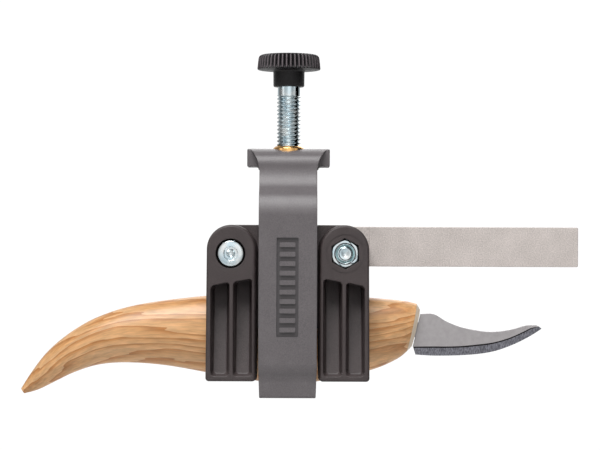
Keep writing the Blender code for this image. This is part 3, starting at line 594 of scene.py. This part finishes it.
for vert in knob.verts:
    radius = math.hypot(vert.co.x, vert.co.y)
    if radius > 9.2 and 50.8 < vert.co.z < 55.35:
        wave = 0.5 + 0.5 * math.cos(RIBS * math.atan2(vert.co.y, vert.co.x))
        sink = 0.65 * (1 - wave**0.6) * min(1.0, (radius - 9.2) / 0.6)
        # each crest is marked for its painted highlight, fading out towards the top
        vert[crest_highlight] = wave**4 * min(1.0, (55.3 - vert.co.z) / 0.9)
        vert.co.x *= (radius - sink) / radius
        vert.co.y *= (radius - sink) / radius
settle(knob, "knob_moulding", black, "screw", "knob", 50)

# ---------------------------------------------------------------- the yoke
# A zinc casting with satin dark grey paint. Its wide head holds the screw's bush, its spine passes
# in front of the jaws, and its foot lies under the handle. The recessed panel has plain raised bars.

paint, tree, shader, place = finish("satin grey paint", (0.145, 0.135, 0.140), 0.42)
grained(tree, shader, place, 3600.0, 0.00004, (0.098, 0.088, 0.092), (0.158, 0.143, 0.148))
satin = shader.inputs["Base Color"].links[0].from_socket
# painted shade: the sunk floor of the panel is coloured darker, as if shaded in its recess
panel_shade_mask = add(tree, "ShaderNodeAttribute", attribute_name="sunk").outputs["Fac"]
shaded = add(
    tree, "ShaderNodeMix", {0: panel_shade_mask, 6: satin, 7: (0.07, 0.063, 0.066, 1)}, data_type="RGBA"
)
tree.links.new(shaded.outputs[2], shader.inputs["Base Color"])

HEAD_HALF = 13.4
PANEL_FLOOR = -17.35
side_view = [
    (8.5, 24.75, 1.6), (-4.2, 24.75, 2.6), (-9.0, 21.6, 2.2), (-9.0, 14.6, 4.2), (-18.0, 7.4, 4.2),
    (-18.0, -45.6, 1.5), (-16.7, -48.9, 1.3), (-16.7, -55.0, 0.8), (3.0, -55.0, 2.5), (11.4, -53.5, 2.2),
    (12.6, -49.8, 0.5), (11.2, -48.2, 0.5), (6.2, -50.9, 2.0), (0, -52.1, 2.5), (-5.4, -51.1, 2.2),
    (-10.2, -48.4, 1.5), (-12.8, -45.0, 2.0), (-12.8, 7.8, 3.5), (-5.5, 12.07, 2.6), (-5.5, 16.5, 1.7),
    (8.5, 16.5, 1.8),
]
spine_cut = [(20, 18.9, 0), (SPINE_HALF, 18.9, 1.4), (SPINE_HALF, -45.0, 0), (8.95, -56.0, 0), (20, -56.0, 0)]
shoulder_cut = [(SPINE_HALF, 15.0, 0), (SPINE_HALF, 20.8, 3.6), (13.5, 25.9, 0), (20, 26.0, 0), (20, 15.0, 0)]
cuts = [rod(5.03, 12.5, 28, sides=96)]
for side in (-1, 1):
    cuts.append(slab([(side * x, z, r) for x, z, r in spine_cut], -30, 30))
    cuts.append(slab([(side * x, z, r) for x, z, r in shoulder_cut], -30, -4))
panel = slab([(-3.6, -35.5, 0.3), (3.4, -35.5, 0.3), (3.4, -4, 0.3), (-3.6, -4, 0.3)], -20, PANEL_FLOOR, segments=3)
BARS, BAR_STEP, BAR_HALF = 10, 3.0, 0.75
bars = [
    slab(
        [(x, z + up * BAR_HALF, 0.25) for x, up in ((-2.6, -1), (2.4, -1), (2.4, 1), (-2.6, 1))],
        -17.95, -17.3, segments=3,
    )
    for z in [-19.75 + BAR_STEP * (i - (BARS - 1) / 2) for i in range(BARS)]
]
blank = eased(worked(slab(side_view, -HEAD_HALF, HEAD_HALF, "YZ", 12), [], cuts), 0.3)
yoke = worked(worked(blank, [], [panel]), bars, [])
# the panel's sunk floor is marked for its painted shade
sunk = yoke.verts.layers.float.new("sunk")
for vert in yoke.verts:
    vert[sunk] = 1.0 if abs(vert.co.y - PANEL_FLOOR) < 0.01 else 0.0
settle(yoke, "yoke_casting", paint, "yoke", "yoke", 30)

# ---------------------------------------------------------------- the bush
# A turned brass bush pressed into the yoke's head, the nut that the clamp screw runs in. Its
# ends are coned so that it stands a little out of the casting.

brass, tree, shader, place = finish("turned brass", (0.90, 0.52, 0.20), 0.3, 1.0)
rings = add(tree, "ShaderNodeTexNoise", {"Vector": place, "Scale": 900.0, "Detail": 2.0})
rough = add(
    tree, "ShaderNodeMapRange",
    {"Value": rings.outputs[0], "From Min": 0.3, "From Max": 0.7, "To Min": 0.16, "To Max": 0.32},
)
tree.links.new(rough.outputs[0], shader.inputs["Roughness"])
bush = turned(
    [
        (4.05, 25.6), (4.25, 25.6), (4.8, 25.2), (5.0, 24.9), (5.0, 16.6), (4.7, 16.3), (4.3, 16.3),
        (4.05, 16.5), (4.05, 25.6),
    ]
)
settle(bush, "threaded_bush_brass", brass, "yoke", "threaded_bush", 30)

# ---------------------------------------------------------------- the knife handle
# One piece of light wood, carved and oiled, thick in the middle with a hooked tail. The flat end
# has a chamfer round it and a slot for the blade's tang, bedded in resin.

wood, tree, shader, place = finish("oiled wood", (0.55, 0.33, 0.16), 0.36)
grain_run = add(tree, "ShaderNodeAttribute", attribute_name="run").outputs["Vector"]
end_grain_and_highlight = add(tree, "ShaderNodeAttribute", attribute_name="cut").outputs["Fac"]
flow = add(tree, "ShaderNodeMapping", {"Vector": grain_run, "Scale": (0.10, 1.0, 1.0)})
warp = add(tree, "ShaderNodeTexNoise", {"Vector": flow.outputs[0], "Scale": 130.0, "Detail": 3.0})
bend = add(
    tree, "ShaderNodeVectorMath", {0: warp.outputs["Color"], 1: (0.0, 0.006, 0.012)}, operation="MULTIPLY"
)
moved = add(tree, "ShaderNodeVectorMath", {0: flow.outputs[0], 1: bend.outputs[0]}, operation="ADD")
years = add(
    tree, "ShaderNodeTexWave",
    {"Vector": moved.outputs[0], "Scale": 115.0, "Distortion": 1.5, "Detail": 3.0, "Detail Scale": 3.0},
    wave_type="BANDS", bands_direction="Z", wave_profile="SAW",
)
pores = add(tree, "ShaderNodeMapping", {"Vector": grain_run, "Scale": (0.07, 1.0, 1.0)})
fibres = add(tree, "ShaderNodeTexNoise", {"Vector": pores.outputs[0], "Scale": 2200.0, "Detail": 3.0})
flecks = add(tree, "ShaderNodeMapping", {"Vector": grain_run, "Scale": (0.3, 1.0, 1.0)})
curl = add(tree, "ShaderNodeTexNoise", {"Vector": flecks.outputs[0], "Scale": 520.0, "Detail": 3.0})
tone = add(tree, "ShaderNodeValToRGB", {"Fac": years.outputs["Fac"]})
tone.color_ramp.elements[0].position = 0.0
tone.color_ramp.elements[0].color = (0.74, 0.44, 0.22, 1)
tone.color_ramp.elements[1].position = 0.95
tone.color_ramp.elements[1].color = (0.50, 0.21, 0.065, 1)
middle = tone.color_ramp.elements.new(0.6)
middle.color = (0.68, 0.365, 0.155, 1)
lines = add(
    tree, "ShaderNodeMapRange",
    {"Value": fibres.outputs[0], "From Min": 0.35, "From Max": 0.65, "To Min": 0.84, "To Max": 1.08},
)
patch = add(
    tree, "ShaderNodeMapRange",
    {"Value": curl.outputs[0], "From Min": 0.3, "From Max": 0.7, "To Min": 0.86, "To Max": 1.10},
)
both = add(tree, "ShaderNodeMath", {0: lines.outputs[0], 1: patch.outputs[0]}, operation="MULTIPLY")
shade = add(tree, "ShaderNodeVectorMath", {0: tone.outputs[0], "Scale": both.outputs[0]}, operation="SCALE")
# the flat end and its chamfer are coloured a light cream: partly the end grain's lighter tone and partly a painted
# highlight on the chamfer
across = add(tree, "ShaderNodeMath", {0: end_grain_and_highlight, 1: 0.04}, operation="GREATER_THAN")
ended = add(
    tree, "ShaderNodeMix", {0: across.outputs[0], 6: shade.outputs[0], 7: (0.78, 0.66, 0.52, 1)}, data_type="RGBA"
)
tree.links.new(ended.outputs[2], shader.inputs["Base Color"])
bump = add(tree, "ShaderNodeBump", {"Height": fibres.outputs[0], "Distance": 0.00003, "Strength": 0.5})
tree.links.new(bump.outputs[0], shader.inputs["Normal"])

HANDLE = [
    ((-86.9, -53.6), (-85.8, -55.2), 1.0),
    ((-83.3, -47.9), (-81.2, -53.9), 2.8),
    ((-78.2, -41.4), (-75.5, -51.1), 4.4),
    ((-71.5, -35.7), (-69.5, -48.2), 5.7),
    ((-63.0, -30.65), (-61.5, -45.7), 6.7),
    ((-52.0, -26.85), (-51.5, -45.0), 7.5),
    ((-38.0, -24.45), (-38.0, -46.1), 8.3),
    ((-20.0, -22.6), (-20.0, -49.25), 9.0),
    ((0.0, -21.8), (0.0, -51.8), 9.25),
    ((16.0, -22.6), (15.5, -49.9), 9.0),
    ((29.0, -23.75), (28.0, -46.9), 8.0),
    ((37.9, -24.6), (35.5, -43.6), 6.8),
    ((41.9, -25.5), (38.6, -41.2), 5.8),
]
HANDLE_END = ((43.0, -27.4), (40.2, -39.6), 4.5)


def between(rows, i, t):
    """Values on a smooth curve through equal rows of numbers, between rows i and i + 1."""
    last = len(rows) - 1
    a, b, c, d = (rows[min(max(i + k, 0), last)] for k in (-1, 0, 1, 2))
    return [
        0.5 * (2 * q + (r - p) * t + (2 * p - 5 * q + 4 * r - s) * t**2 + (3 * q - p - 3 * r + s) * t**3)
        for p, q, r, s in zip(a, b, c, d)
    ]


def hoop(bm, top, bottom, half, sides=40):
    """An oval ring of edges round the handle."""
    middle = Vector(((top[0] + bottom[0]) / 2, 0, (top[1] + bottom[1]) / 2))
    up = Vector((top[0], 0, top[1])) - middle
    matrix = Matrix.Translation(middle) @ Matrix(
        ((0, up.x, 0, 0), (half, 0, 0, 0), (0, up.z, 1, 0), (0, 0, 0, 1))
    )
    made = bmesh.ops.create_circle(bm, segments=sides, radius=1, matrix=matrix)
    return sorted({e for v in made["verts"] for e in v.link_edges}, key=lambda e: e.index)


handle = bmesh.new()
flat = [[*top, *bottom, wide] for top, bottom, wide in HANDLE]
hoops = []
for i in range(len(flat) - 1):
    for step in range(4):
        x1, z1, x2, z2, wide = between(flat, i, step / 4)
        hoops.append(hoop(handle, (x1, z1), (x2, z2), wide))
hoops.append(hoop(handle, *HANDLE[-1]))
hoops.append(hoop(handle, *HANDLE_END))
for first, second in zip(hoops, hoops[1:]):
    bmesh.ops.bridge_loops(handle, edges=first + second)
for ends in (hoops[0], hoops[-1]):
    bmesh.ops.edgeloop_fill(handle, edges=ends)
bmesh.ops.recalc_face_normals(handle, faces=handle.faces)
handle = worked(handle, [], [block((13, -1.15, -36.9), (50, 1.15, -31.1))])

# Each point's place along, across and up the bent handle, in metres, for the run of the wood.
stations = [between(flat, i, t / 8) for i in range(len(flat) - 1) for t in range(8)] + [flat[-1]]
middle_line = [Vector(((x1 + x2) / 2, (z1 + z2) / 2)) for x1, z1, x2, z2, _ in stations]
lengths = [0.0]
for first, second in zip(middle_line, middle_line[1:]):
    lengths.append(lengths[-1] + (second - first).length)
run = handle.verts.layers.float_vector.new("run")
cut = handle.verts.layers.float.new("cut")
for vert in handle.verts:
    at = Vector((vert.co.x, vert.co.z))
    near = min(range(len(middle_line) - 1), key=lambda i: (middle_line[i] - at).length)
    along = (middle_line[near + 1] - middle_line[near]).normalized()
    off = at - middle_line[near]
    vert[run] = Vector(((lengths[near] + off.dot(along)), vert.co.y, along.x * off.y - along.y * off.x)) * MM
    # the flat end is marked for its light cream colour, partly a painted highlight
    vert[cut] = 1.0 if vert.co.x > 43.0 + (vert.co.z + 27.4) * 0.23 - 0.3 else 0.0
settle(handle, "handle_carved", wood, "knife", "knife_handle", 25)

# ---------------------------------------------------------------- the blade
# Carbon steel, flat with a long bevel ground on each side to a fine edge, its tip curled upwards.
# The tang runs into the handle.

blade_steel, tree, shader, place = finish("ground steel", (0.20, 0.19, 0.195), 0.42, 0.8)
ground_side = add(tree, "ShaderNodeAttribute", attribute_name="bevel").outputs["Fac"]
scratch = add(tree, "ShaderNodeMapping", {"Vector": place, "Scale": (1.0, 1.0, 0.05)})
lines = add(tree, "ShaderNodeTexNoise", {"Vector": scratch.outputs[0], "Scale": 4000.0, "Detail": 3.0})
cloud = add(tree, "ShaderNodeTexNoise", {"Vector": place, "Scale": 700.0, "Detail": 4.0})
flat_tone = add(
    tree, "ShaderNodeMix",
    {0: cloud.outputs[0], 6: (0.34, 0.32, 0.325, 1), 7: (0.46, 0.44, 0.445, 1)}, data_type="RGBA",
)
ground_tone = add(tree, "ShaderNodeValToRGB", {"Fac": lines.outputs[0]})
ground_tone.color_ramp.elements[0].position = 0.35
ground_tone.color_ramp.elements[0].color = (0.10, 0.10, 0.115, 1)
ground_tone.color_ramp.elements[1].position = 0.65
ground_tone.color_ramp.elements[1].color = (0.30, 0.30, 0.34, 1)
ground = add(tree, "ShaderNodeMath", {0: ground_side, 1: 0.03}, operation="GREATER_THAN")
either = add(
    tree, "ShaderNodeMix",
    {0: ground.outputs[0], 6: flat_tone.outputs[2], 7: ground_tone.outputs[0]}, data_type="RGBA",
)
# painted shade: a thin dark line along the ridge where the ground bevel meets the flat
painted_ridge_shade = add(tree, "ShaderNodeMath", {0: ground_side, 1: 0.10, 2: 0.08}, operation="COMPARE")
lined = add(
    tree, "ShaderNodeMix",
    {0: painted_ridge_shade.outputs[0], 6: either.outputs[2], 7: (0.02, 0.018, 0.02, 1)}, data_type="RGBA",
)
tree.links.new(lined.outputs[2], shader.inputs["Base Color"])
bump = add(tree, "ShaderNodeBump", {"Height": lines.outputs[0], "Distance": 0.00001, "Strength": ground.outputs[0]})
tree.links.new(bump.outputs[0], shader.inputs["Normal"])

BLADE = [
    (43.2, -28.9, 40.8, -39.4, 41.6, -42.1, 1.0),
    (47.5, -28.9, 46.5, -39.3, 46.5, -42.4, 1.0),
    (51.5, -31.2, 52.0, -39.3, 52.0, -42.4, 1.0),
    (56.0, -33.0, 57.0, -39.1, 57.5, -42.2, 0.95),
    (60.5, -34.0, 62.0, -38.6, 63.0, -41.7, 0.9),
    (65.0, -34.6, 66.6, -38.0, 68.0, -40.7, 0.85),
    (69.5, -34.4, 71.4, -36.7, 73.0, -38.9, 0.8),
    (73.8, -33.6, 75.5, -35.0, 77.0, -37.0, 0.75),
    (77.5, -32.5, 79.0, -33.3, 80.3, -35.1, 0.7),
    (80.9, -32.4, 81.8, -32.8, 82.7, -33.5, 0.5),
]
EDGE_HALF = 0.1
blade = bmesh.new()
sections = []
for i in range(len(BLADE) - 1):
    for step in range(4):
        sections.append(between(BLADE, i, step / 4))
sections.append(list(BLADE[-1]))
loops = []
for x1, z1, x2, z2, x3, z3, wide in sections:
    points = [
        (x1, -wide, z1), (x2, -wide, z2), (x3, -EDGE_HALF, z3),
        (x3, EDGE_HALF, z3), (x2, wide, z2), (x1, wide, z1),
    ]
    verts = [blade.verts.new(p) for p in points]
    loops.append([blade.edges.new((verts[k - 1], verts[k])) for k in range(6)])
for first, second in zip(loops, loops[1:]):
    bmesh.ops.bridge_loops(blade, edges=first + second)
for ends in (loops[0], loops[-1]):
    bmesh.ops.edgeloop_fill(blade, edges=ends)
bmesh.ops.recalc_face_normals(blade, faces=blade.faces)
tang = block((14.2, -0.8, -36.4), (44.5, 0.8, -31.6))
blade = worked(blade, [tang])
bevel = blade.verts.layers.float.new("bevel")
for vert in blade.verts:
    vert[bevel] = 1.0 if abs(abs(vert.co.y) - EDGE_HALF) < 0.001 else 0.0
settle(blade, "blade_ground", blade_steel, "knife", "knife_blade", 12)

# ---------------------------------------------------------------- the resin
# Amber resin that beds the tang in the handle, level with the handle's flat end.

amber, tree, shader, place = finish("amber resin", (0.35, 0.24, 0.12), 0.25)
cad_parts["tang_resin"].data.materials.clear()
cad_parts["tang_resin"].data.materials.append(amber)

# ---------------------------------------------------------------- floor, light and camera
# A pale floor well below the clamp, a white room, and soft lamps in front, above and behind.

floor_bm = bmesh.new()
bmesh.ops.create_circle(floor_bm, cap_ends=True, segments=96, radius=1.6)
bmesh.ops.translate(floor_bm, verts=floor_bm.verts, vec=(0, 0, -0.32))
floor_mesh = bpy.data.meshes.new("floor")
floor_bm.to_mesh(floor_mesh)
floor_bm.free()
floor = bpy.data.objects.new("floor", floor_mesh)
bpy.context.scene.collection.objects.link(floor)
pale, tree, shader, place = finish("pale floor", (0.9, 0.9, 0.9), 0.9)
out_from_centre = add(tree, "ShaderNodeVectorMath", {0: place}, operation="LENGTH")
fade = add(
    tree, "ShaderNodeMapRange", {"Value": out_from_centre.outputs["Value"], "From Min": 1.0, "From Max": 1.6},
    interpolation_type="SMOOTHSTEP",
)
geometry = add(tree, "ShaderNodeNewGeometry")
hidden = add(
    tree, "ShaderNodeMath", {0: fade.outputs[0], 1: geometry.outputs["Backfacing"]}, operation="MAXIMUM"
)
clear = add(tree, "ShaderNodeBsdfTransparent")
seen = add(tree, "ShaderNodeMixShader", {0: hidden.outputs[0], 1: shader.outputs[0], 2: clear.outputs[0]})
tree.links.new(seen.outputs[0], tree.nodes["Material Output"].inputs["Surface"])
floor_mesh.materials.append(pale)

world = bpy.data.worlds.new("white room")
bpy.context.scene.world = world
world.use_nodes = True
tree = world.node_tree
tree.nodes.clear()
path = add(tree, "ShaderNodeLightPath")
shown = add(tree, "ShaderNodeBackground", {"Color": (1, 1, 1, 1), "Strength": 1.05})
towards = add(tree, "ShaderNodeSeparateXYZ", {0: add(tree, "ShaderNodeTexCoord").outputs["Generated"]})
depth = add(tree, "ShaderNodeMath", {0: towards.outputs["Y"]}, operation="ABSOLUTE")
cards = add(
    tree, "ShaderNodeMapRange",
    {"Value": depth.outputs[0], "From Min": 0.35, "From Max": 0.95, "To Min": 0.08, "To Max": 0.80},
)
left_card = add(
    tree, "ShaderNodeMath", {0: towards.outputs["X"], 1: -0.12, 2: cards.outputs[0]}, operation="MULTIPLY_ADD"
)
brightness = add(
    tree, "ShaderNodeMix", {0: path.outputs["Is Glossy Ray"], 2: 0.06, 3: left_card.outputs[0]}, data_type="FLOAT"
)
room = add(tree, "ShaderNodeBackground", {"Color": (1, 1, 1, 1), "Strength": brightness.outputs[0]})
mix = add(tree, "ShaderNodeMixShader", {0: path.outputs["Is Camera Ray"], 1: room.outputs[0], 2: shown.outputs[0]})
add(tree, "ShaderNodeOutputWorld", {"Surface": mix.outputs[0]})

CENTRE = Vector((-0.045, 0.0, -0.01))


def lamp(name, place, size, power):
    """A square soft lamp at a place about the middle of the clamp, turned towards it."""
    data = bpy.data.lights.new(name, "AREA")
    data.shape = "SQUARE"
    data.size = size
    data.energy = power
    obj = bpy.data.objects.new(name, data)
    obj.location = CENTRE + Vector(place)
    obj.rotation_euler = (CENTRE - obj.location).to_track_quat("-Z", "Y").to_euler()
    bpy.context.scene.collection.objects.link(obj)


lamp("above", (-0.2, -0.55, 0.98), 0.7, 16.0)
lamp("front", (0.1, -1.3, 0.35), 0.8, 1.0)
lamp("left", (-1.1, -0.6, 0.3), 0.5, 0.8)
lamp("right", (1.1, -0.6, 0.3), 0.5, 0.6)
lamp("behind", (0.2, 0.9, 0.6), 0.8, 4.0)

camera_data = bpy.data.cameras.new("camera")
camera_data.lens = 110.4
camera_data.sensor_width = 36
camera_data.clip_start = 0.01
camera = bpy.data.objects.new("camera", camera_data)
camera.location = ORIGIN + Vector((3.8, -600.0, 0.0)) * MM
camera.rotation_euler = (math.radians(90), math.radians(-0.22), 0)
bpy.context.scene.collection.objects.link(camera)
bpy.context.scene.camera = camera
bpy.context.scene.view_settings.view_transform = "Standard"
